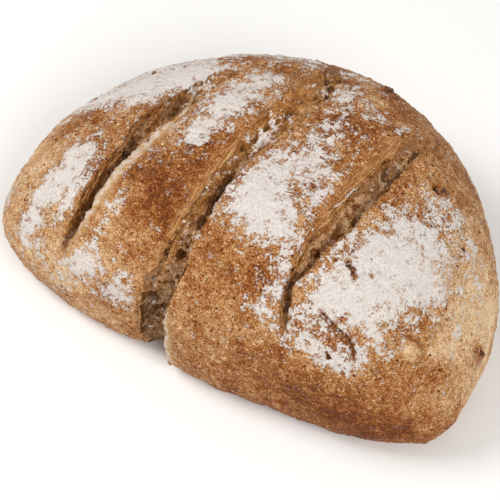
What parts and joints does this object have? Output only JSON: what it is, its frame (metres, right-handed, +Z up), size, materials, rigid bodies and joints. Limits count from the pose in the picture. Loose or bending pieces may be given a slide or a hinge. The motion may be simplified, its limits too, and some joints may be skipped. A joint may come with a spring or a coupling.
{
  "type": "walnut bread loaf",
  "caption": "Rustic domed walnut loaf with a flat base, slashes torn open across its crown, a floury crust and chopped nut showing.",
  "frame": {"origin": "centre of the loaf's outline on the surface it rests on", "axes": "+X along the loaf's length towards its blunter end; +Y from its nearly straight front side to its rounded back; +Z up"},
  "size_m": [0.24, 0.1699, 0.0911],
  "materials": {
    "crust": "baked wheat and rye crust, golden brown with a dull sheen, dusted with flour in patches",
    "crumb": "torn open crumb in the slashes, greyish brown, porous and dull",
    "flour": "dry flour dusting, warm white and fully matt",
    "nut": "chopped walnut kernel roasted dark brown at the surface, uneven and dull"
  },
  "bodies": {
    "root": {"walnut_loaf": "crust"}
  },
  "joints": []
}
